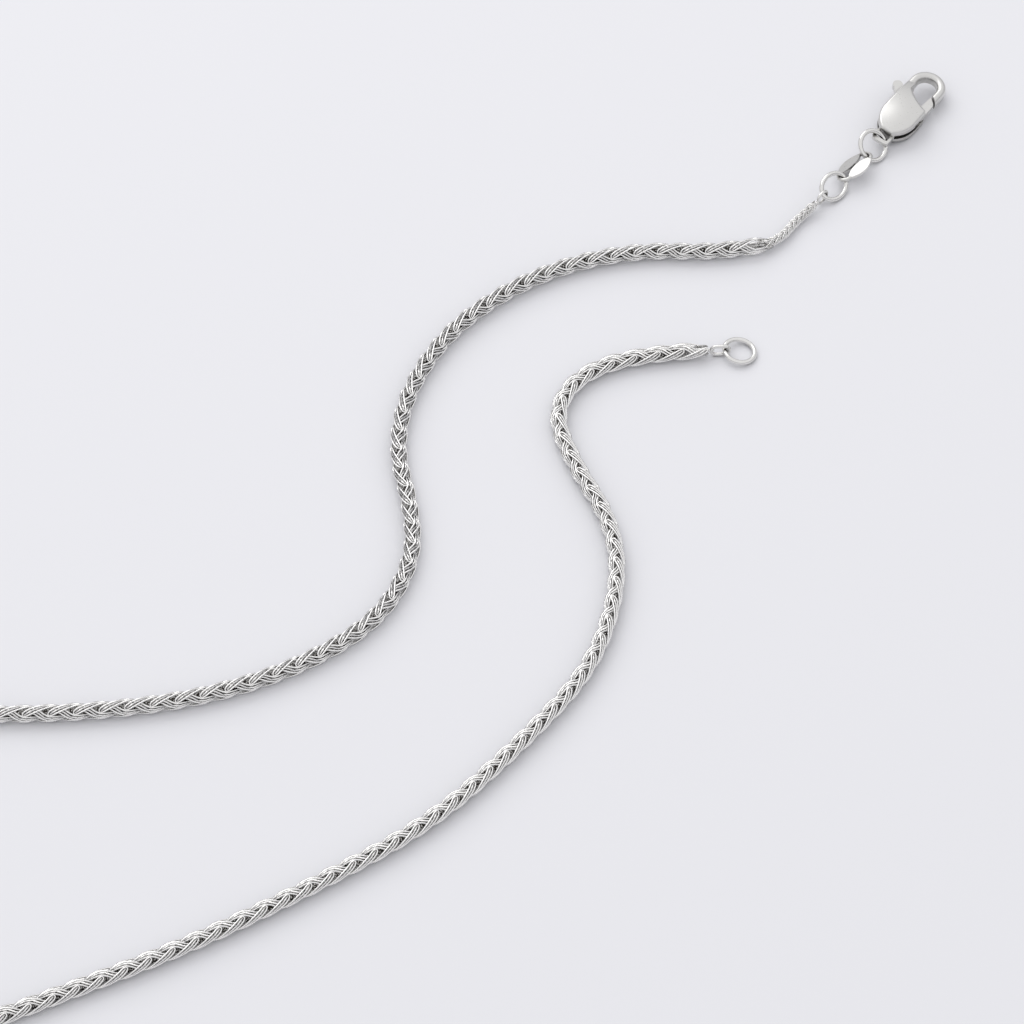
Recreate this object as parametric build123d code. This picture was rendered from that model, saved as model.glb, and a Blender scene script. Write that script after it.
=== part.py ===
"""Wheat chain necklace in white metal, lying open on a flat surface.

A round woven chain with a lobster clasp on jump rings and a tag link at one end and a ring at the
other. All sizes are millimetres. +X runs along the longest extent, +Z is up, the surface is Z = 0.
"""

from build123d import *
import math
import os

# Main chain
CHAIN_DIAMETER = 1.6
# The main chain's centre line seen from above, from its clasp end round to its far end.
CHAIN_ROUTE = [
    (68.6, 48.7), (63.6, 47.4), (55.4, 47.8), (46.6, 45.2), (38.4, 38.9), (33.8, 30.9),
    (32.4, 22.9), (34.1, 15.4), (34.3, 9.1), (31.3, 2.3), (24.9, -2.9), (16.4, -6.7), (6.4, -8.6),
    (-4.6, -9.0), (-17.6, -8.7), (-35.6, -10.5), (-55.6, -15.8), (-75.1, -25.8), (-85.6, -41.8),
    (-81.6, -59.3), (-67.1, -69.8), (-48.6, -69.3), (-30.6, -59.3), (-14.1, -48.5), (1.4, -41.3),
    (14.4, -35.1), (25.9, -28.2), (36.1, -21.3), (44.3, -12.1), (50.8, -3.3), (53.3, 6.4),
    (52.6, 13.9), (49.2, 20.7), (47.2, 27.1), (49.8, 32.1), (55.9, 34.6), (62.0, 35.0),
]
CHAIN_SPLIT = 18  # the two stretches meet halfway from this point of the route to the next
ARC_SHARE = 0.45  # how much of the shorter run each arc takes

# Fine neck chain between the main chain and the clasp's rings
NECK_DIAMETER = 0.8
NECK_LENGTH = 5.8
NECK_HEADING = 50.0  # degrees from +X
NECK_BOW = 0.25
NECK_RISE = 0.55  # its last half climbs to the oval ring
NECK_STEP = 0.55  # from the main chain's end to the neck's start, onwards and to the left

# Rings and links of round wire
RING_DIAMETER = 3.4
RING_WIRE = 0.48
OVAL_RING_LENGTH = 3.6
OVAL_RING_WIDTH = 2.8
END_LINK_LENGTH = 1.7
END_LINK_WIDTH = 1.5
END_LINK_WIRE = 0.3
FAR_LINK_LENGTH = 2.1
FAR_LINK_WIDTH = 1.45
FAR_LINK_WIRE = 0.36
LINK_GAP = 0.05  # along the necklace between pieces that hang in each other, less where they lean

# Tag link with two leaf plates
TAG_LENGTH = 4.8
TAG_END_WIRE = 0.36
TAG_EYE = 0.95  # clear width of the eye at each end
TAG_WIDTH = 2.7
TAG_SLIT = 0.16
TAG_PLATE = 0.28
TAG_LEAF_TILT = 7.0
TAG_HEADING = 52.0  # degrees from +X
TAG_LEAN = 18.0  # its right side is raised
TAG_HEIGHT = 1.0  # of its end in the clasp's ring

# Lobster clasp, measured from its body's tail edge along its length
CLASP_HEADING = 55.0  # degrees from +X
CLASP_ROLL = 8.0  # it lies on its domed back, its thumb tab's side a little raised
CLASP_THICKNESS = 2.4
CLASP_DOME_CENTRE = 3.3
CLASP_EDGE_ROUND = 0.28
HORN_CORNER = 1.0  # the body's thickness at its thinnest corner, on the horn
CLASP_CORNER_ROUND = 0.35
TAIL_WIDTH = 1.2
TAIL_CURVE_LENGTH = 2.4
HOOK_RADIUS = 1.85  # outside, and half the body's width
HOOK_WIDTH = 0.85
HOOK_THICKNESS = 1.2
HOOK_CENTRE = 7.45
HOOK_TIP_BACK = 1.0  # from the hook's centre back to the middle of its end face
HOOK_EDGE_ROUND = 0.46 * HOOK_WIDTH
HORN_BACK = 0.55  # from the hook's centre back to the end of the body's horn
RIM_SHOULDER = 4.35
RIM_MIDDLE = 4.85
RIM_HORN = 6.2
TAIL_GROOVE_START = 0.25
SIDE_GROOVE_DEPTH = 0.45
SIDE_GROOVE_WIDTH = 0.5
BAIL_BAR = 0.4
BAIL_SLOT_WIDTH = 0.78
BAIL_SLOT_LENGTH = 1.3
BAIL_SLOT_ROUND = 0.2
BAIL_ARM = 0.25
BAIL_THICKNESS = 0.4

# Lever, pin and slot inside the clasp
PIVOT_ALONG = 3.9
PIVOT_ASIDE = 0.85
PIN_RADIUS = 0.35
PIN_SEAT_DEPTH = 0.35
PIN_SEAT_GAP = 0.01
PIN_RUNNING_GAP = 0.04
LEVER_THICKNESS = 0.6
LEVER_SIDE_GAP = 0.08
LEVER_HUB_RADIUS = 0.72
LEVER_SLOT_START = 2.5
LEVER_SLOT_END = 5.95
TIP_GAP = 0.15  # between the lever's nose and the hook's tip
TAB_RADIUS = 0.5
TAB_REACH = 2.5  # from the pivot to the tab's round end
TAB_ANGLE = 38.0
TAB_NECK = 0.75
GATE_WIDTH = 0.85
GATE_SHOULDER = 3.9
GATE_CHAMFER = 0.28

# How the two jump rings lie: each axis's lean from upright and the heading it leans to
CLASP_RING_LEAN = (44.0, -44.0)
OVAL_RING_LEAN = (40.0, -42.0)
UP = Vector(0, 0, 1)


def heading(degrees):
    """The level direction at this angle from +X."""
    angle = math.radians(degrees)
    return Vector(math.cos(angle), math.sin(angle), 0)


def leaning(lean):
    """The axis of a ring that leans, from (degrees from upright, heading it leans to)."""
    tilt, side = lean
    level = heading(side)
    return UP * math.cos(math.radians(tilt)) + level * math.sin(math.radians(tilt))


def across(axis, ahead, rise):
    """The direction across a ring with this axis that rises by this share and points most nearly ahead."""
    level = UP.cross(axis).normalized()
    uphill = axis.cross(level)
    sine = rise / uphill.Z
    cosine = math.sqrt(1 - sine**2)
    side = 1 if level.dot(ahead) > 0 else -1
    return level * (cosine * side) + uphill * sine


def rest_height(axis, radius, wire):
    """Height of the centre of a round ring that leans on the surface."""
    return radius * math.sqrt(1 - axis.Z**2) + wire / 2


def rod(points, diameter):
    """A round rod along straight runs joined by tangent arcs, the radii of its arcs and its length."""
    radii = []
    for before, here, after in zip(points, points[1:], points[2:]):
        first, second = here - before, after - here
        half_turn = math.radians(first.get_angle(second)) / 2
        radii.append(ARC_SHARE * min(first.length, second.length) / math.tan(half_turn))
    path = FilletPolyline(*points, radius=radii)
    section = Plane(origin=points[0], z_dir=points[1] - points[0]) * Circle(diameter / 2)
    return sweep(section, path=path), radii, path.length


def bent_wire(path, wire):
    """Round wire bent round a closed path and soldered."""
    section = Plane(origin=path @ 0, z_dir=path % 0) * Circle(wire / 2)
    return sweep(section, path=path)


def long_link(length, width, wire):
    """A link of round wire in its own XY plane, long along X, with straight sides and round ends."""
    return bent_wire(SlotOverall(length - wire, width - wire).wire(), wire)


def oval_ring(length, width, wire):
    """An elliptical ring of round wire in its own XY plane, long along X."""
    return bent_wire(Ellipse((length - wire) / 2, (width - wire) / 2).wire(), wire)


def prism(face, low, high):
    """The sketch pulled up from one height to the other."""
    return extrude(Pos(0, 0, low) * face, amount=high - low)


def tag_link():
    """Two leaf plates side by side on round wire eyes, long along X, with a slit between the leaves."""
    eye_radius = (TAG_EYE + TAG_END_WIRE) / 2
    eye_centre = TAG_LENGTH / 2 - eye_radius - TAG_END_WIRE / 2
    link = None
    for end in (-1, 1):
        eye = Pos(end * eye_centre, 0, 0) * Torus(eye_radius, TAG_END_WIRE / 2)
        outer_half = Box(
            TAG_LENGTH, TAG_LENGTH, TAG_LENGTH,
            align=(Align.MIN if end > 0 else Align.MAX, Align.CENTER, Align.CENTER),
        )
        eye = eye & (Pos(end * eye_centre, 0, 0) * outer_half)
        link = eye if link is None else link + eye
    for side in (-1, 1):
        inner, outer = TAG_EYE / 2, TAG_EYE / 2 + TAG_END_WIRE
        leaf_outline = Polyline(
            (-eye_centre, side * inner), (-eye_centre, side * outer)
        ) + ThreePointArc(
            (-eye_centre, side * outer), (0, side * TAG_WIDTH / 2), (eye_centre, side * outer)
        ) + Polyline(
            (eye_centre, side * outer), (eye_centre, side * inner)
        ) + ThreePointArc(
            (eye_centre, side * inner), (0, side * TAG_SLIT / 2), (-eye_centre, side * inner)
        )
        leaf = prism(make_face(leaf_outline), -TAG_PLATE / 2, TAG_PLATE / 2)
        crease = Axis((0, side * (inner + outer) / 2, 0), (1, 0, 0))
        link += leaf.rotate(crease, -side * TAG_LEAF_TILT)
    return link


def clasp_outline():
    """The body's outline from above, with the horn that the hook grows from."""
    half = HOOK_RADIUS
    tail = TAIL_WIDTH / 2
    horn_inside = half - HOOK_WIDTH
    horn_length = HOOK_CENTRE - HORN_BACK
    lines = TangentArc((TAIL_CURVE_LENGTH, -half), (0, -tail), tangent=(-1, 0))
    lines += Line((TAIL_CURVE_LENGTH, -half), (RIM_SHOULDER, -half))
    lines += ThreePointArc((RIM_SHOULDER, -half), (RIM_MIDDLE, -half / 4), (RIM_HORN, horn_inside))
    lines += Polyline((RIM_HORN, horn_inside), (horn_length, horn_inside), (horn_length, half))
    lines += Line((horn_length, half), (TAIL_CURVE_LENGTH, half))
    lines += TangentArc((TAIL_CURVE_LENGTH, half), (0, tail), tangent=(-1, 0))
    lines += Line((0, tail), (0, -tail))
    return make_face(lines)


def tip_face():
    """The middle of the hook tip's end face and the face's direction outwards from the lever."""
    pivot = Vector(PIVOT_ALONG, PIVOT_ASIDE, 0)
    middle = Vector(HOOK_CENTRE - HOOK_TIP_BACK, -(HOOK_RADIUS - HOOK_WIDTH / 2), 0)
    return middle, (middle - pivot).normalized()


def clasp_hook():
    """The hook's bar, bent round from the horn to its tip and cut off square to the lever's swing."""
    bend = HOOK_RADIUS - HOOK_WIDTH / 2
    root = (LEVER_SLOT_END - HOOK_WIDTH / 2, bend)
    path = Line(root, (HOOK_CENTRE, bend)) + ThreePointArc(
        (HOOK_CENTRE, bend), (HOOK_CENTRE + bend, 0), (HOOK_CENTRE, -bend)
    ) + Line((HOOK_CENTRE, -bend), (HOOK_CENTRE - 2 * HOOK_WIDTH, -bend))
    section = Plane(origin=(*root, 0), x_dir=(0, 1, 0), z_dir=(1, 0, 0)) * RectangleRounded(
        HOOK_WIDTH, HOOK_THICKNESS, HOOK_EDGE_ROUND
    )
    bar = sweep(section, path=path)
    middle, outwards = tip_face()
    cut_plane = Plane(origin=middle - outwards * (2 * HOOK_WIDTH), z_dir=outwards)
    cutter = extrude(cut_plane * Rectangle(3 * HOOK_WIDTH, 3 * HOOK_THICKNESS), amount=2 * HOOK_WIDTH)
    return bar - cutter


def clasp_body():
    """The cast body: two domed shells with the lever's slot between them, the hook and the bail."""
    outline = clasp_outline()
    half = CLASP_THICKNESS / 2
    body = prism(outline, -half, half)
    corner_away = math.hypot(HOOK_CENTRE - HORN_BACK - CLASP_DOME_CENTRE, HOOK_RADIUS)
    corner_drop = half - HORN_CORNER / 2
    dome_radius = (corner_away**2 + corner_drop**2) / (2 * corner_drop)
    for side in (-1, 1):
        dome_centre = Pos(CLASP_DOME_CENTRE, 0, side * (half - dome_radius))
        body = body & (dome_centre * Rot(90, 0, 0) * Sphere(dome_radius))
    corners = [
        edge for edge in body.edges().filter_by(Axis.Z)
        if edge.center().X < CLASP_EDGE_ROUND or abs(edge.center().X - RIM_SHOULDER) < CLASP_EDGE_ROUND
    ]
    body = fillet(corners, CLASP_CORNER_ROUND)
    for side in (-1, 1):
        rim = [
            edge for edge in body.edges()
            if side * (edge @ 0).Z > 0 and side * (edge @ 1).Z > 0
            and min((edge @ 0).X, (edge @ 1).X) < RIM_HORN - CLASP_EDGE_ROUND
        ]
        body = fillet(rim, CLASP_EDGE_ROUND)
    slot_half = LEVER_THICKNESS / 2 + LEVER_SIDE_GAP
    lever_slot = Pos((LEVER_SLOT_START + LEVER_SLOT_END) / 2, 0, 0) * Box(
        LEVER_SLOT_END - LEVER_SLOT_START, 4 * HOOK_RADIUS, 2 * slot_half
    )
    groove = prism(
        outline - offset(outline, -SIDE_GROOVE_DEPTH), -SIDE_GROOVE_WIDTH / 2, SIDE_GROOVE_WIDTH / 2
    )
    groove_length = LEVER_SLOT_START - TAIL_GROOVE_START
    groove = groove & (Pos(TAIL_GROOVE_START + groove_length / 2, 0, 0) * Box(
        groove_length, 4 * HOOK_RADIUS, SIDE_GROOVE_WIDTH
    ))
    pin_hole = Pos(PIVOT_ALONG, PIVOT_ASIDE, 0) * Cylinder(
        PIN_RADIUS + PIN_SEAT_GAP, 2 * (slot_half + PIN_SEAT_DEPTH)
    )
    body = body + clasp_hook()
    return body - lever_slot - groove - pin_hole + clasp_bail()


def clasp_bail():
    """The eye at the tail: a bar on two short arms, with a slot that the ring passes through."""
    length = BAIL_BAR + BAIL_SLOT_WIDTH + TAIL_GROOVE_START
    width = BAIL_SLOT_LENGTH + 2 * BAIL_ARM
    plate = Pos(TAIL_GROOVE_START - length / 2, 0) * RectangleRounded(length, width, BAIL_BAR)
    eye = Pos(-BAIL_SLOT_WIDTH / 2, 0) * RectangleRounded(
        BAIL_SLOT_WIDTH, BAIL_SLOT_LENGTH, BAIL_SLOT_ROUND
    )
    return prism(plate - eye, -BAIL_THICKNESS / 2, BAIL_THICKNESS / 2)


def clasp_lever():
    """The sprung lever: a hub on the pin, a gate that closes on the hook's tip and a thumb tab."""
    pivot = Vector(PIVOT_ALONG, PIVOT_ASIDE, 0)
    middle, outwards = tip_face()
    along_face = UP.cross(outwards)
    end = middle - outwards * TIP_GAP
    inner_corner = end + along_face * GATE_WIDTH / 2
    outer_corner = end - along_face * GATE_WIDTH / 2
    outer_side = -(HOOK_RADIUS - LEVER_SIDE_GAP)
    gate = make_face(Polyline(
        (PIVOT_ALONG - LEVER_HUB_RADIUS, PIVOT_ASIDE),
        (GATE_SHOULDER - GATE_CHAMFER, outer_side + GATE_CHAMFER),
        (GATE_SHOULDER, outer_side),
        (outer_corner.X - GATE_CHAMFER, outer_side),
        (outer_corner.X, outer_corner.Y),
        (inner_corner.X, inner_corner.Y),
        (RIM_MIDDLE + GATE_CHAMFER, outer_side + GATE_WIDTH),
        (PIVOT_ALONG + LEVER_HUB_RADIUS, PIVOT_ASIDE),
        close=True,
    ))
    hub = Pos(pivot) * Circle(LEVER_HUB_RADIUS)
    tab = Location(pivot, (0, 0, TAB_ANGLE)) * (
        Pos(TAB_REACH / 2, 0) * Rectangle(TAB_REACH, TAB_NECK) + Pos(TAB_REACH, 0) * Circle(TAB_RADIUS)
    )
    half = LEVER_THICKNESS / 2
    lever = prism(gate + hub + tab, -half, half)
    return lever - Pos(pivot) * Cylinder(PIN_RADIUS + PIN_RUNNING_GAP, CLASP_THICKNESS)


def clasp_pin():
    """The rivet that the lever turns on, seated in both shells."""
    length = LEVER_THICKNESS + 2 * LEVER_SIDE_GAP + 2 * PIN_SEAT_DEPTH - 2 * PIN_SEAT_GAP
    return Pos(PIVOT_ALONG, PIVOT_ASIDE, 0) * Cylinder(PIN_RADIUS, length)


def far_ring_lean():
    """How far the far ring leans, from its link down to the surface."""
    drop = FAR_LINK_WIDTH / 2 - RING_WIRE / 2
    return math.degrees(math.asin(drop / (RING_DIAMETER - RING_WIRE)))


# Main chain: two stretches that meet, lying on the surface
route = [Vector(x, y, CHAIN_DIAMETER / 2) for x, y in CHAIN_ROUTE]
meeting = (route[CHAIN_SPLIT] + route[CHAIN_SPLIT + 1]) / 2
nodes = {}
chain_length = 0
stretches = {
    "wheat_chain_a": route[: CHAIN_SPLIT + 1] + [meeting],
    "wheat_chain_b": [meeting] + route[CHAIN_SPLIT + 1:],
}
for name, points in stretches.items():
    nodes[name], radii, length = rod(points, CHAIN_DIAMETER)
    chain_length += length
    share = nodes[name].volume / (math.pi * CHAIN_DIAMETER**2 / 4 * length)
    print(name, "length", round(length, 1), "volume share", round(share, 4))
    print("  radii", [round(radius, 1) for radius in radii])

# Neck chain, from beside the main chain's end up to its end link
ahead = heading(CLASP_HEADING)
neck_ahead = heading(NECK_HEADING)
chain_ahead = (route[0] - route[1]).normalized()
neck_low = NECK_DIAMETER / 2
neck_start = Vector(route[0].X, route[0].Y, neck_low) + (chain_ahead + UP.cross(chain_ahead)) * NECK_STEP
neck_end = neck_start + neck_ahead * NECK_LENGTH + UP * NECK_RISE
neck_middle = (neck_start + neck_end) / 2 + UP.cross(neck_ahead) * NECK_BOW - UP * NECK_RISE / 2
nodes["neck_chain"], neck_radii, neck_run = rod([neck_start, neck_middle, neck_end], NECK_DIAMETER)
print("neck_chain length", round(neck_run, 1), "radii", [round(radius, 1) for radius in neck_radii])

# Neck end link, standing on edge round the oval ring's wire
end_link_centre = neck_end + neck_ahead * (END_LINK_LENGTH / 2 + LINK_GAP)
end_link_side = UP.cross(neck_ahead)
end_link_plane = Plane(end_link_centre, x_dir=neck_ahead, z_dir=end_link_side)
nodes["neck_end_link"] = end_link_plane.location * long_link(
    END_LINK_LENGTH, END_LINK_WIDTH, END_LINK_WIRE
)

# Oval jump ring that holds the neck chain
oval_axis = leaning(OVAL_RING_LEAN)
oval_reach = (OVAL_RING_LENGTH - RING_WIRE) / 2
oval_wire_point = end_link_centre + neck_ahead * (
    END_LINK_LENGTH / 2 - END_LINK_WIRE - LINK_GAP - RING_WIRE / 2
)
oval_side_reach = (OVAL_RING_WIDTH - RING_WIRE) / 2
oval_lift = RING_WIRE / 2 + oval_side_reach * math.sqrt(1 - oval_axis.Z**2) - oval_wire_point.Z
oval_long = across(oval_axis, ahead, oval_lift / oval_side_reach)
oval_centre = oval_wire_point + oval_long * oval_reach
nodes["jump_ring_chain"] = Plane(oval_centre, x_dir=oval_long, z_dir=oval_axis).location * oval_ring(
    OVAL_RING_LENGTH, OVAL_RING_WIDTH, RING_WIRE
)

# Tag link between the two jump rings
link_reach = TAG_LENGTH / 2 - TAG_END_WIRE - LINK_GAP - RING_WIRE / 2
oval_far_point = oval_centre + oval_long * oval_reach
ring_axis = leaning(CLASP_RING_LEAN)
ring_reach = (RING_DIAMETER - RING_WIRE) / 2
ring_height = rest_height(ring_axis, ring_reach, RING_WIRE)
tag_ahead = heading(TAG_HEADING)
tag_rise = (TAG_HEIGHT - oval_far_point.Z) / (2 * link_reach)
tag_long = tag_ahead * math.sqrt(1 - tag_rise**2) + UP * tag_rise
tag_centre = oval_far_point + tag_long * link_reach
tag_side = UP.cross(tag_ahead)
tag_lean = math.radians(TAG_LEAN)
tag_axis = tag_long.cross(tag_side) * math.cos(tag_lean) + tag_side * math.sin(tag_lean)
nodes["tag_link"] = Plane(tag_centre, x_dir=tag_long, z_dir=tag_axis).location * tag_link()

# Round jump ring between the tag link and the clasp
ring_near_point = tag_centre + tag_long * link_reach
ring_from = across(ring_axis, ahead * -1, (ring_near_point.Z - ring_height) / ring_reach)
ring_centre = ring_near_point - ring_from * ring_reach

# Clasp, lying on its back and rolled a little
clasp_nodes = {"clasp_body": clasp_body(), "clasp_lever": clasp_lever(), "clasp_pin": clasp_pin()}
clasp_side = UP.cross(ahead)
roll = math.radians(CLASP_ROLL)
clasp_axis = UP * math.cos(roll) - clasp_side * math.sin(roll)
lying = Plane((0, 0, 0), x_dir=ahead, z_dir=clasp_axis).location
clasp_height = -(lying * clasp_nodes["clasp_body"]).bounding_box().min.Z
ring_to = across(ring_axis, ahead, (clasp_height - ring_height) / ring_reach)
bail_eye = ring_centre + ring_to * ring_reach
nodes["jump_ring_clasp"] = Plane(ring_centre, x_dir=ring_to, z_dir=ring_axis).location * Torus(
    ring_reach, RING_WIRE / 2
)
clasp_origin = bail_eye + ahead * BAIL_SLOT_WIDTH / 2
clasp_place = Plane(clasp_origin, x_dir=ahead, z_dir=clasp_axis).location
for name, piece in clasp_nodes.items():
    nodes[name] = clasp_place * piece
pivot = clasp_origin + ahead * PIVOT_ALONG + clasp_axis.cross(ahead) * PIVOT_ASIDE
print("lever pivot", pivot, "axis", clasp_axis)

# Far end: a link on edge at the chain's end and the ring that the clasp catches
far_ahead = (route[-1] - route[-2]).normalized()
far_link_centre = Vector(route[-1].X, route[-1].Y, FAR_LINK_WIDTH / 2) + far_ahead * (
    FAR_LINK_LENGTH / 2 + LINK_GAP
)
far_side = UP.cross(far_ahead)
nodes["far_end_link"] = Plane(far_link_centre, x_dir=far_ahead, z_dir=far_side).location * long_link(
    FAR_LINK_LENGTH, FAR_LINK_WIDTH, FAR_LINK_WIRE
)
far_lean = math.radians(far_ring_lean())
far_down = far_ahead * math.cos(far_lean) - UP * math.sin(far_lean)
far_wire_point = far_link_centre + far_ahead * (
    FAR_LINK_LENGTH / 2 - FAR_LINK_WIRE - LINK_GAP - RING_WIRE / 2
)
far_ring_centre = far_wire_point + far_down * ring_reach
nodes["far_end_ring"] = Plane(
    far_ring_centre, x_dir=far_down, z_dir=far_down.cross(far_side)
).location * Torus(ring_reach, RING_WIRE / 2)

os.makedirs("parts", exist_ok=True)
whole = None
for name, piece in nodes.items():
    export_step(piece, "parts/" + name + ".step")
    box = piece.bounding_box()
    whole = box if whole is None else whole.add(box)
print("box", whole.min, whole.max, "centre", (whole.min + whole.max) / 2)
print("chain length", round(chain_length, 1))
print("far ring centre", far_ring_centre, "bail eye", bail_eye)
hook_centre = clasp_origin + ahead * HOOK_CENTRE
print("hook centre", hook_centre)
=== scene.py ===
"""Wheat chain necklace in polished white metal, lying open on a pale surface."""

import math

import bmesh
import bpy
from mathutils import Matrix, Vector


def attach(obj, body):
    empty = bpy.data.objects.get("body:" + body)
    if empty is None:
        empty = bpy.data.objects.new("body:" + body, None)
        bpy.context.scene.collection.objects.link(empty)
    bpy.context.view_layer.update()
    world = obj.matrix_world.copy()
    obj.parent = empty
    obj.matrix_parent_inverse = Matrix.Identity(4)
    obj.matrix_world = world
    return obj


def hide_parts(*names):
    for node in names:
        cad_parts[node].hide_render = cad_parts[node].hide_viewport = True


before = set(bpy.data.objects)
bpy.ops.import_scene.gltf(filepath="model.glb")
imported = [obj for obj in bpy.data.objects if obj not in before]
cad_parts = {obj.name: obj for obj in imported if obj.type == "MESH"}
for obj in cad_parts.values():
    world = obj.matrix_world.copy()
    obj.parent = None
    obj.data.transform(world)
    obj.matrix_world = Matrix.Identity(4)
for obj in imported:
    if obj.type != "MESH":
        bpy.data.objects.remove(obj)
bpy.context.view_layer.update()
scene = bpy.context.scene
scene.view_settings.view_transform = "Standard"


# Camera. It looks down at the surface from the front, from far off and with a long lens, so the
# two stretches of chain stay the same size from the top of the picture to the bottom.
LOOKED_AT = Vector((0.0434, 0.0157, 0.0))
CAMERA_DISTANCE = 0.640
CAMERA_ELEVATION = math.radians(50.0)
CAMERA_ANGLE = math.radians(8.5)

camera_data = bpy.data.cameras.new("camera")
camera_data.sensor_fit = "HORIZONTAL"
camera_data.sensor_width = 36.0
camera_data.angle = CAMERA_ANGLE
camera_data.clip_start = 0.01
camera_data.clip_end = 10.0
camera = bpy.data.objects.new("camera", camera_data)
scene.collection.objects.link(camera)
camera.location = LOOKED_AT + CAMERA_DISTANCE * Vector(
    (0.0, -math.cos(CAMERA_ELEVATION), math.sin(CAMERA_ELEVATION))
)
camera.rotation_euler = (math.pi / 2 - CAMERA_ELEVATION, 0.0, 0.0)
scene.camera = camera


# The main chain's line. The chain lies loosely on the surface in one long open loop, from beside
# the clasp round to the ring at its other end, and its smooth middle line follows these points.
CHAIN_ROUTE_MM = [
    (68.6, 48.7), (63.6, 47.4), (55.4, 47.8), (46.6, 45.2), (38.4, 38.9), (33.8, 30.9),
    (32.4, 22.9), (34.1, 15.4), (34.3, 9.1), (31.3, 2.3), (24.9, -2.9), (16.4, -6.7), (6.4, -8.6),
    (-4.6, -9.0), (-17.6, -8.7), (-35.6, -10.5), (-55.6, -15.8), (-75.1, -25.8), (-85.6, -41.8),
    (-81.6, -59.3), (-67.1, -69.8), (-48.6, -69.3), (-30.6, -59.3), (-14.1, -48.5), (1.4, -41.3),
    (14.4, -35.1), (25.9, -28.2), (36.1, -21.3), (44.3, -12.1), (50.8, -3.3), (53.3, 6.4),
    (52.6, 13.9), (49.2, 20.7), (47.2, 27.1), (49.8, 32.1), (55.9, 34.6), (62.0, 35.0),
]
CHAIN_MIDDLE_MM = 0.84  # height of the chain's middle, where its wires just touch the surface
SAME_POINT = 1e-7  # points of the line that are closer than this, in metres, are one


def line_through(name, points_mm):
    """The points that a smooth line with these control points (x, y, z) runs through, in metres."""
    curve = bpy.data.curves.new(name, "CURVE")
    curve.dimensions = "3D"
    curve.resolution_u = 48
    spline = curve.splines.new("NURBS")
    spline.points.add(len(points_mm) - 1)
    for point, place in zip(spline.points, points_mm):
        point.co = (*(value / 1000 for value in place), 1.0)
    spline.order_u = 3
    spline.use_endpoint_u = True
    drawn = bpy.data.objects.new(name, curve)
    scene.collection.objects.link(drawn)
    bpy.context.view_layer.update()
    mesh = bpy.data.meshes.new_from_object(drawn)
    points = [vertex.co.copy() for vertex in mesh.vertices]
    bpy.data.objects.remove(drawn)
    bpy.data.meshes.remove(mesh)
    bpy.data.curves.remove(curve)
    return points


class ChainLine:
    """A chain's middle line, asked for its place and directions at a length along it."""

    def __init__(self, points):
        self.points = [points[0]]
        self.lengths = [0.0]
        for point in points[1:]:
            step = (point - self.points[-1]).length
            if step > SAME_POINT:
                self.points.append(point)
                self.lengths.append(self.lengths[-1] + step)
        self.length = self.lengths[-1]
        self.at = 0  # the span that was asked for last, where the next search starts

    def place(self, length):
        """The point, the direction ahead, the right hand side and the upper side."""
        while self.at < len(self.lengths) - 2 and self.lengths[self.at + 1] < length:
            self.at += 1
        while self.at > 0 and self.lengths[self.at] > length:
            self.at -= 1
        start, end = self.points[self.at], self.points[self.at + 1]
        span = self.lengths[self.at + 1] - self.lengths[self.at]
        share = (length - self.lengths[self.at]) / span
        here = end - start
        before = start - self.points[self.at - 1] if self.at else here
        after = self.points[self.at + 2] - end if self.at + 2 < len(self.points) else here
        first = (before.normalized() + here.normalized()).normalized()
        last = (here.normalized() + after.normalized()).normalized()
        ahead = first.lerp(last, min(max(share, 0.0), 1.0)).normalized()
        right = ahead.cross(Vector((0.0, 0.0, 1.0))).normalized()
        return start.lerp(end, share), ahead, right, right.cross(ahead)


chain_points = line_through("chain_line", [(x, y, CHAIN_MIDDLE_MM) for x, y in CHAIN_ROUTE_MM])
chain_line = ChainLine(chain_points)


# Silver wire of the woven chains: drawn, tumbled and rhodium bright. It mirrors the room with a faint
# blur. Deep between the wires, shade is painted dark into its colour, with small painted glints where they
# cross.
CROSSING_MM = 0.1923  # from one glint to the next, about a wire's thickness
GLINT_RELIEF_MM = 0.06  # how far the wire at a glint stands out


def linear(sheet_colour):
    """An sRGB hex colour as the linear numbers that a shader takes."""
    values = [int(sheet_colour[start:start + 2], 16) / 255 for start in (1, 3, 5)]
    return (*(v / 12.92 if v <= 0.04045 else ((v + 0.055) / 1.055) ** 2.4 for v in values), 1.0)


def add_node(tree, kind, settings=None, links=None):
    """A node of this kind with its settings, and with its named inputs linked or set."""
    node = tree.nodes.new(kind)
    for name, value in (settings or {}).items():
        setattr(node, name, value)
    for name, value in (links or {}).items():
        if isinstance(value, bpy.types.NodeSocket):
            tree.links.new(value, node.inputs[name])
        else:
            node.inputs[name].default_value = value
    return node


def material(name):
    """A new material with an empty shader, and its node tree."""
    made = bpy.data.materials.new(name)
    made.use_nodes = True
    made.node_tree.nodes.clear()
    return made, made.node_tree


chain_silver, tree = material("drawn_silver_chain_wire")
# Painted shade and glints: the stored depth in the weave darkens the colour towards a dark tone, spotted
# with painted glints.
weave_shade = add_node(tree, "ShaderNodeAttribute", {"attribute_name": "weave_shade"})
place = add_node(tree, "ShaderNodeTexCoord")
crossings = add_node(
    tree, "ShaderNodeTexVoronoi", None,
    {"Vector": place.outputs["Object"], "Scale": 1000 / CROSSING_MM, "Randomness": 0.7},
)
glint = add_node(
    tree, "ShaderNodeMapRange", None,
    {
        "Value": crossings.outputs["Distance"], "From Min": 0.25, "From Max": 0.55,
        "To Min": 1.0, "To Max": 0.0,
    },
)
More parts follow.
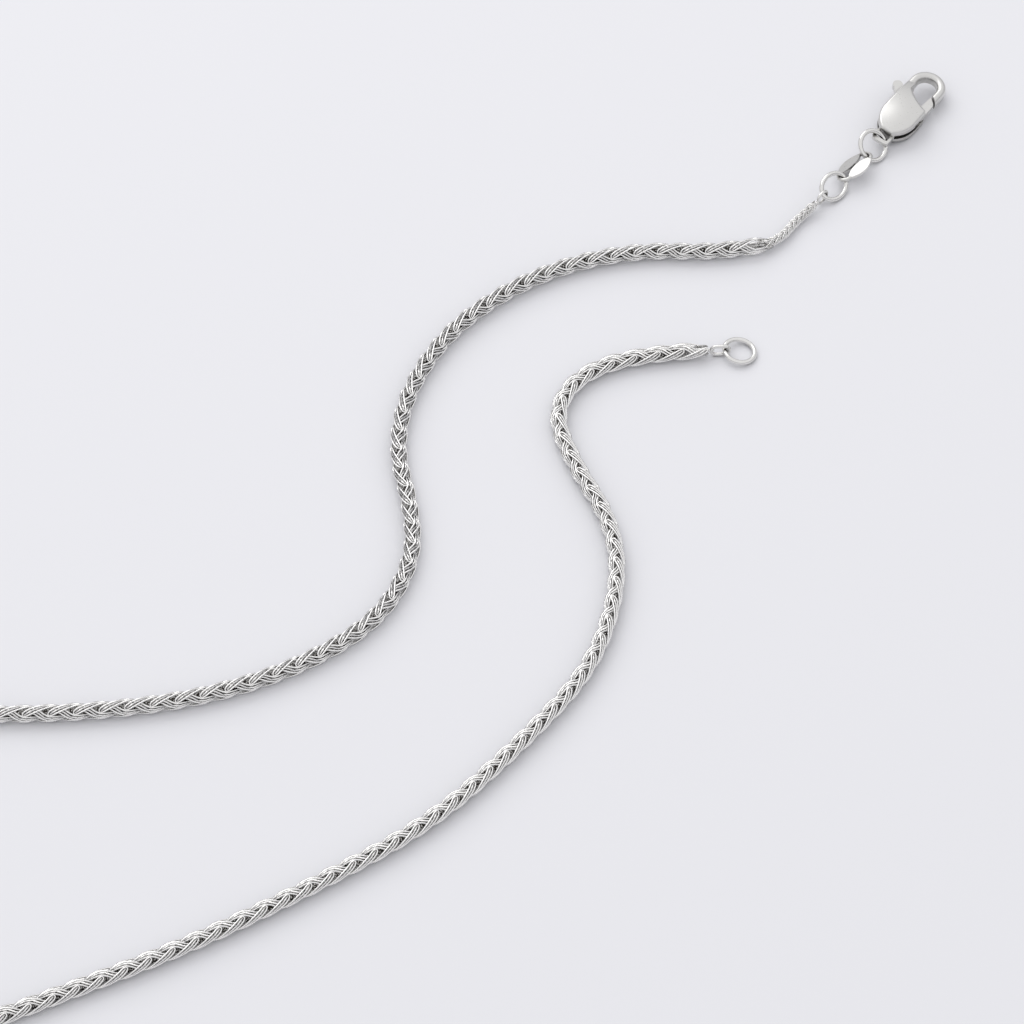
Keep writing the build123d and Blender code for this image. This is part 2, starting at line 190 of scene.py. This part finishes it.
# The painted shade's dark tone, with painted glints mixed in.
deep_shade_and_glints = add_node(tree, "ShaderNodeMix", {"data_type": "RGBA"}, {"Factor": glint.outputs["Result"]})
deep_shade_and_glints.inputs["A"].default_value = linear("#34312D")
deep_shade_and_glints.inputs["B"].default_value = linear("#DEDCD8")
tone = add_node(tree, "ShaderNodeMix", {"data_type": "RGBA"}, {"Factor": weave_shade.outputs["Fac"]})
tone.inputs["A"].default_value = linear("#FCFBF9")
tree.links.new(deep_shade_and_glints.outputs["Result"], tone.inputs["B"])
height = add_node(
    tree, "ShaderNodeMath", {"operation": "MULTIPLY"},
    {0: glint.outputs["Result"], 1: weave_shade.outputs["Fac"]},
)
relief = add_node(
    tree, "ShaderNodeBump", None,
    {"Height": height.outputs["Value"], "Distance": GLINT_RELIEF_MM / 1000, "Strength": 1.0},
)
shader = add_node(
    tree, "ShaderNodeBsdfPrincipled", None,
    {
        "Base Color": tone.outputs["Result"], "Metallic": 1.0, "Roughness": 0.16,
        "Normal": relief.outputs["Normal"],
    },
)
add_node(tree, "ShaderNodeOutputMaterial", None, {"Surface": shader.outputs["BSDF"]})


# Woven main chain. Four strands of long oval links, two turning one way and two the other, pass
# under and over each other. Each link is a loop of drawn wire, closed and flattened: its tail runs
# up inside the weave, and its head lies on top and ends in a blunt round eye.
WEAVE_STEP_MM = 2.3  # along the chain from one link of a strand to the next
WIRE_RADIUS_MM = 0.086
WIRE_SIDES = 4  # enough for a wire this fine, with smooth shading


def wire_loop(sections):
    """One closed ring of wire of unit radius, to be drawn out into a link."""
    ring = bmesh.new()
    made = bmesh.ops.create_circle(ring, radius=WIRE_RADIUS_MM, segments=WIRE_SIDES)
    turned = Matrix.Translation((1.0, 0.0, 0.0)) @ Matrix.Rotation(math.pi / 2, 4, "X")
    bmesh.ops.transform(ring, matrix=turned, verts=made["verts"])
    bmesh.ops.spin(
        ring, geom=ring.verts[:] + ring.edges[:], cent=(0, 0, 0), axis=(0, 0, 1),
        angle=2 * math.pi, steps=sections, use_merge=True, use_duplicate=False,
    )
    bmesh.ops.recalc_face_normals(ring, faces=ring.faces[:])
    return ring


# Where the loop's sections lie on one side of a link, from its head to its tail: the place along
# the link, in steps from where it comes out into sight, and half the link's width in mm.
LINK_STATIONS = [
    (1.53, 0.0), (1.50, 0.14), (1.39, 0.225), (1.21, 0.245), (0.99, 0.245), (0.76, 0.245),
    (0.53, 0.245), (0.30, 0.235), (0.06, 0.18), (-0.24, 0.11), (-0.32, 0.0),
]
LAST_STATION = len(LINK_STATIONS) - 1
HEAD_BEND = math.radians(48)  # how far the wire has turned at the first section after the head's top
# Where the sections lie of the wire between a link's two sides, in steps as well.
MIDDLE_STATIONS = [-0.15, 0.12, 0.39, 0.65, 0.90, 1.15, 1.46]


def link_shape(step, scale):
    """A link drawn out straight along X, its width along Y."""
    sections = 2 * LAST_STATION
    link = wire_loop(sections)
    for vertex in link.verts:
        angle = math.atan2(vertex.co.y, vertex.co.x)
        number = round(abs(angle) / (2 * math.pi / sections))
        out = math.hypot(vertex.co.x, vertex.co.y) - 1.0
        reach, width = LINK_STATIONS[number]
        side = math.copysign(1.0, angle) if 0 < number < LAST_STATION else 0.0
        tilt = {0: 0.0, 1: HEAD_BEND, LAST_STATION: math.pi}.get(number, math.pi / 2)
        vertex.co = Vector((
            reach * step + out * math.cos(tilt) * scale,
            side * scale * (width + out * math.sin(tilt)),
            vertex.co.z * scale,
        ))
    # Between the two sides runs the next link of the strand, drawn as one more wire.
    radius = WIRE_RADIUS_MM * scale
    made = bmesh.ops.create_circle(link, radius=radius, segments=WIRE_SIDES, cap_ends=True)
    first = made["verts"]
    start = Matrix.Translation((MIDDLE_STATIONS[0] * step, 0.0, 0.0))
    bmesh.ops.transform(link, matrix=start @ Matrix.Rotation(math.pi / 2, 4, "Y"), verts=first)
    face = list(first[0].link_faces)
    for last, following in zip(MIDDLE_STATIONS, MIDDLE_STATIONS[1:]):
        made = bmesh.ops.extrude_face_region(link, geom=face)["geom"]
        moved = [g for g in made if isinstance(g, bmesh.types.BMVert)]
        bmesh.ops.translate(link, vec=((following - last) * step, 0.0, 0.0), verts=moved)
        face = [g for g in made if isinstance(g, bmesh.types.BMFace)]
    bmesh.ops.recalc_face_normals(link, faces=link.faces[:])
    return link


# The way of a link from its tail to its head: the place along it in steps, how far round the chain
# it has turned in degrees, and its distance from the chain's middle in mm. Two strands go OVER: they
# come out at the chain's sides and run over its top, or under its bottom. Two go UNDER: they meet the
# first ones there from the other side, and dive under them with their heads.
OVER = [
    (-0.36, -20, 0.34), (0.00, 14, 0.50), (0.16, 23, 0.68), (0.30, 26, 0.76), (0.47, 41, 0.76),
    (0.66, 53, 0.76), (0.88, 68, 0.76), (1.15, 85, 0.76), (1.37, 104, 0.76), (1.53, 121, 0.73),
]
UNDER = [
    (-0.36, -15, 0.32), (0.03, 16, 0.46), (0.19, 27, 0.68), (0.32, 25, 0.76), (0.45, 25, 0.76),
    (0.63, 34, 0.76), (0.78, 52, 0.74), (0.90, 75, 0.66), (1.05, 95, 0.54), (1.25, 115, 0.45),
    (1.52, 135, 0.40),
]
# Each strand's way, the angle round the chain that its turn is counted from, and which way it turns.
STRANDS = [(OVER, 0.0, 1), (UNDER, math.pi, -1), (OVER, math.pi, 1), (UNDER, 0.0, -1)]
WAY_BLEND = 0.07  # a way's corners are rounded over this share of a step to each side


def on_way(way, part):
    """The turn and the distance from the chain's middle at this place of a link's way."""
    for (first, *low), (last, *high) in zip(way, way[1:]):
        if part < last:
            break
    share = min(max((part - first) / (last - first), 0.0), 1.0)
    return [a + (b - a) * share for a, b in zip(low, high)]


def weave_place(along, aside, proud, way, side, step, scale):
    """Where a point of a link lies in the weave: along the chain, its angle round it, its radius."""
    part = along / step
    turn, radius = on_way(way, part - WAY_BLEND)
    later_turn, later_radius = on_way(way, part + WAY_BLEND)
    radius = (radius + later_radius) / 2 * scale
    lean = math.atan(radius * math.radians(later_turn - turn) / (2 * WAY_BLEND * step))
    angle = side * (math.radians(turn + later_turn) / 2 + aside * math.cos(lean) / radius)
    return along - aside * math.sin(lean), angle, radius + proud


# Inside, where the tails of the links cross, there is hardly a gap left. One thin core fills it, which
# runs out to a point at both ends. It is painted with shade along its length, fading to none at its
# points.
CORE_SIDES = 8
CORE_RINGS = 4  # to a step
CORE_START = -0.2  # in steps from the first link
CORE_RADIUS_MM = 0.44
CORE_POINT_MM = 0.12
CORE_POINT_RINGS = 6  # over which a point grows to the full radius

# The links are painted with shade where they lie nearer to the chain's middle than the first of these
# distances, and get no darker than the last value. The second is what it takes to go from light to dark.
SHADE_FROM_MM = 0.66
SHADE_SPAN_MM = 0.3
LINK_SHADE = 0.6


def woven(name, line, first, count, step, scale, roll):
    """The links of all four strands along a line, the first ones this many mm from its start."""
    pattern = link_shape(step, scale)
    straight = [vertex.co.copy() for vertex in pattern.verts]
    plain = bpy.data.meshes.new(name + "_link")
    pattern.to_mesh(plain)
    pattern.free()
    whole = bmesh.new()
    weave_shade_layer = whole.verts.layers.float.new("weave_shade")

    def put(vertex, length, angle, radius):
        here, _, right, upper = line.place(length / 1000)
        angle += roll(line, length)
        vertex.co = here + (right * math.cos(angle) + upper * math.sin(angle)) * (radius / 1000)

    ring = bmesh.ops.create_circle(whole, radius=1.0, segments=CORE_SIDES, cap_ends=True)["verts"]
    spokes = [math.atan2(vertex.co.y, vertex.co.x) for vertex in ring]
    face = whole.faces[:]
    rings = CORE_RINGS * (count + 1)
    for number in range(rings + 1):
        share = min(number, rings - number, CORE_POINT_RINGS) / CORE_POINT_RINGS
        size = CORE_POINT_MM + (CORE_RADIUS_MM - CORE_POINT_MM) * share
        for vertex, spoke in zip(ring, spokes):
            put(vertex, first + (number / CORE_RINGS + CORE_START) * step, spoke, size * scale)
            vertex[weave_shade_layer] = share
        if number < rings:
            last = [vertex.co.copy() for vertex in ring]
            made = bmesh.ops.extrude_face_region(whole, geom=face)["geom"]
            face = [g for g in made if isinstance(g, bmesh.types.BMFace)]
            ring = list(face[0].verts)
            near = [min(range(CORE_SIDES), key=lambda n: (last[n] - vertex.co).length) for vertex in ring]
            spokes = [spokes[n] for n in near]
    for way, middle_angle, side in STRANDS:
        for number in range(count):
            drawn = len(whole.verts)
            whole.from_mesh(plain)
            whole.verts.ensure_lookup_table()
            for vertex, place in zip(whole.verts[drawn:], straight):
                along, angle, radius = weave_place(place.x, place.y, place.z, way, side, step, scale)
                shade = (SHADE_FROM_MM * scale - radius) / (SHADE_SPAN_MM * scale)
                vertex[weave_shade_layer] = min(LINK_SHADE, max(0.0, shade))
                put(vertex, first + number * step + along, middle_angle + angle, radius)
    bpy.data.meshes.remove(plain)
    mesh = bpy.data.meshes.new(name)
    whole.to_mesh(mesh)
    whole.free()
    mesh.shade_smooth()
    made = bpy.data.objects.new(name, mesh)
    scene.collection.objects.link(made)
    made.data.materials.append(chain_silver)
    return made


# The weave has an upper side, which leans towards the front and lies rolled a little from there. The
# roll swings slowly along the chain, as it does where a chain is laid down by hand.
FRONT_LEAN = math.radians(40)
ROLL = math.radians(-18)
ROLL_SWING = math.radians(6)
ROLL_SPAN_MM = 17  # over which the swing runs through one radian


def chain_roll(line, length):
    """How far the weave is rolled about its line at this length in mm."""
    ahead = line.place(length / 1000)[1]
    leaning = math.atan2(math.sin(FRONT_LEAN) * ahead.x, math.cos(FRONT_LEAN))
    return ROLL + ROLL_SWING * math.sin(length / ROLL_SPAN_MM) - leaning


# The links follow each other from the clasp's end to the ring's, past where the two stretches meet.
FIRST_LINK_MM = 1.0
LINKS_A = 91
LINKS_B = 92
MEETING_MM = FIRST_LINK_MM + LINKS_A * WEAVE_STEP_MM
stretch_a = woven("woven_chain_a", chain_line, FIRST_LINK_MM, LINKS_A, WEAVE_STEP_MM, 1.0, chain_roll)
stretch_b = woven("woven_chain_b", chain_line, MEETING_MM, LINKS_B, WEAVE_STEP_MM, 1.0, chain_roll)
for piece, node in ((stretch_a, "wheat_chain_a"), (stretch_b, "wheat_chain_b")):
    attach(piece, "necklace")
    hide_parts(node)


# Fine neck chain, of the same weave at a smaller scale. It comes out of the main chain's end and
# leads up to the first ring, whose small link holds its last links.
NECK_ROUTE_MM = [
    (67.0, 48.3, 0.84), (68.9, 49.0, 0.70), (70.667, 51.753, 0.50), (71.7, 52.8, 0.64),
    (72.722, 53.814, 0.97),
]
NECK_SCALE = 0.58  # of its links' width, thickness and way round, against the main chain's
NECK_LINKS = 9
NECK_START_MM = 0.2

neck_line = ChainLine(line_through("neck_line", NECK_ROUTE_MM))
head_reach = LINK_STATIONS[0][0] - 1.0  # how far the last link's head reaches past its own step
neck_step = (neck_line.length * 1000 - NECK_START_MM) / (NECK_LINKS + head_reach)
neck = woven("woven_neck_chain", neck_line, NECK_START_MM, NECK_LINKS, neck_step, NECK_SCALE, chain_roll)
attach(neck, "necklace")
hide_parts("neck_chain")


# Jump rings and end links: round wire of the same metal, drawn, bent round and polished by hand. The
# polishing leaves faint marks. Where one wire hangs in another, shade is painted dark into the colour.
# Real marks are about 0.02 mm apart. That is too fine to show, so these are coarser.
POLISH_MARK_MM = 0.3846
WIRE_RIPPLE_MM = 0.003
SHADED_WITHIN_MM = 0.5  # how near another surface has to be for painted shade

ring_silver, tree = material("polished_silver_wire")
place = add_node(tree, "ShaderNodeTexCoord")
marks = add_node(
    tree, "ShaderNodeTexNoise", None,
    {"Vector": place.outputs["Object"], "Scale": 1000 / POLISH_MARK_MM, "Detail": 4.0},
)
gloss = add_node(
    tree, "ShaderNodeMapRange", None,
    {"Value": marks.outputs["Fac"], "From Min": 0.3, "From Max": 0.7, "To Min": 0.10, "To Max": 0.20},
)
# Painted shade: where another surface is near, the colour is painted darker.
shade_occlusion = add_node(
    tree, "ShaderNodeAmbientOcclusion", {"samples": 16}, {"Distance": SHADED_WITHIN_MM / 1000},
)
unshaded_share = add_node(
    tree, "ShaderNodeMapRange", None, {"Value": shade_occlusion.outputs["AO"], "From Min": 0.15, "From Max": 0.75},
)
tone = add_node(tree, "ShaderNodeMix", {"data_type": "RGBA"}, {"Factor": unshaded_share.outputs["Result"]})
tone.inputs["A"].default_value = linear("#5A5651")
tone.inputs["B"].default_value = linear("#E9E8E5")
ripple = add_node(
    tree, "ShaderNodeBump", None,
    {"Height": marks.outputs["Fac"], "Distance": WIRE_RIPPLE_MM / 1000, "Strength": 0.5},
)
shader = add_node(
    tree, "ShaderNodeBsdfPrincipled", None,
    {
        "Base Color": tone.outputs["Result"], "Metallic": 1.0, "Roughness": gloss.outputs["Result"],
        "Normal": ripple.outputs["Normal"],
    },
)
add_node(tree, "ShaderNodeOutputMaterial", None, {"Surface": shader.outputs["BSDF"]})
for name in ("neck_end_link", "jump_ring_chain", "jump_ring_clasp", "far_end_link", "far_end_ring"):
    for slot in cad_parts[name].material_slots:
        slot.material = ring_silver


# Lobster clasp and tag link: the body, lever, pin and plates are cast in the same metal and tumbled.
# So the surface is smooth with a soft satin gloss and a little uneven. In the slot and the grooves,
# shade is painted dark grey into the colour.
CASTING_WAVE_MM = 1.667  # from one faint hollow that the casting leaves to the next
CASTING_DEPTH_MM = 0.01
# Real scuffs from tumbling are about 0.03 mm across. That is too fine to show, so these are coarser.
SCUFF_MM = 0.1923
CLASP_SHADED_WITHIN_MM = 1.2  # how narrow a place has to be to get painted shade

clasp_silver, tree = material("tumbled_cast_silver")
place = add_node(tree, "ShaderNodeTexCoord")
casting = add_node(
    tree, "ShaderNodeTexNoise", None,
    {"Vector": place.outputs["Object"], "Scale": 1000 / CASTING_WAVE_MM, "Detail": 2.0},
)
scuffs = add_node(
    tree, "ShaderNodeTexNoise", None,
    {"Vector": place.outputs["Object"], "Scale": 1000 / SCUFF_MM, "Detail": 5.0},
)
gloss = add_node(
    tree, "ShaderNodeMapRange", None,
    {"Value": scuffs.outputs["Fac"], "From Min": 0.3, "From Max": 0.7, "To Min": 0.27, "To Max": 0.34},
)
# Painted shade: in narrow places the colour is painted darker.
shade_occlusion = add_node(
    tree, "ShaderNodeAmbientOcclusion", {"samples": 16}, {"Distance": CLASP_SHADED_WITHIN_MM / 1000},
)
unshaded_share = add_node(
    tree, "ShaderNodeMapRange", None, {"Value": shade_occlusion.outputs["AO"], "From Min": 0.2, "From Max": 0.8},
)
tone = add_node(tree, "ShaderNodeMix", {"data_type": "RGBA"}, {"Factor": unshaded_share.outputs["Result"]})
tone.inputs["A"].default_value = linear("#45413D")
tone.inputs["B"].default_value = linear("#DAD9D6")
waviness = add_node(
    tree, "ShaderNodeBump", None,
    {"Height": casting.outputs["Fac"], "Distance": CASTING_DEPTH_MM / 1000, "Strength": 0.6},
)
shader = add_node(
    tree, "ShaderNodeBsdfPrincipled", None,
    {
        "Base Color": tone.outputs["Result"], "Metallic": 1.0, "Roughness": gloss.outputs["Result"],
        "Normal": waviness.outputs["Normal"],
    },
)
add_node(tree, "ShaderNodeOutputMaterial", None, {"Surface": shader.outputs["BSDF"]})
for name in ("clasp_body", "clasp_lever", "clasp_pin", "tag_link"):
    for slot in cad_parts[name].material_slots:
        slot.material = clasp_silver


# Surface that the necklace lies on: a smooth matte board, pale lavender grey. Round it is the studio,
# a pale room that is darker towards the floor, with one large soft light from behind on the left.
BOARD_HALF = 3.0  # metres from its middle to each side

floor_matte, tree = material("pale_matte_board")
shader = add_node(
    tree, "ShaderNodeBsdfPrincipled", None,
    {"Base Color": linear("#ECECEF"), "Roughness": 0.7, "Specular IOR Level": 0.2},
)
add_node(tree, "ShaderNodeOutputMaterial", None, {"Surface": shader.outputs["BSDF"]})
board = bmesh.new()
bmesh.ops.create_grid(board, x_segments=2, y_segments=2, size=BOARD_HALF)
board_mesh = bpy.data.meshes.new("floor")
board.to_mesh(board_mesh)
board.free()
floor = bpy.data.objects.new("floor", board_mesh)
scene.collection.objects.link(floor)
floor.data.materials.append(floor_matte)


def soft_box(name, place, aim, size, power):
    """A square studio light of this size in metres and power in watts, turned to its aim."""
    lamp = bpy.data.lights.new(name, "AREA")
    lamp.shape = "SQUARE"
    lamp.size = size
    lamp.energy = power
    light = bpy.data.objects.new(name, lamp)
    scene.collection.objects.link(light)
    light.location = place
    light.rotation_euler = (Vector(aim) - Vector(place)).to_track_quat("-Z", "Y").to_euler()


soft_box("key_light", (-0.16, 0.42, 0.42), LOOKED_AT, 0.50, 1.0)

world = bpy.data.worlds.new("studio")
world.use_nodes = True
scene.world = world
tree = world.node_tree
tree.nodes.clear()
toward = add_node(tree, "ShaderNodeTexCoord")
upward = add_node(tree, "ShaderNodeSeparateXYZ", None, {"Vector": toward.outputs["Generated"]})
ceiling = add_node(tree, "ShaderNodeValToRGB", None, {"Fac": upward.outputs["Z"]})
ceiling.color_ramp.elements[0].color = linear("#3A3A3D")
ceiling.color_ramp.elements.new(0.18).color = linear("#C6C6CA")
ceiling.color_ramp.elements[2].position = 0.6
ceiling.color_ramp.elements[2].color = linear("#F2F2F4")
room = add_node(tree, "ShaderNodeBackground", None, {"Color": ceiling.outputs["Color"], "Strength": 1.0})
add_node(tree, "ShaderNodeOutputWorld", None, {"Surface": room.outputs["Background"]})
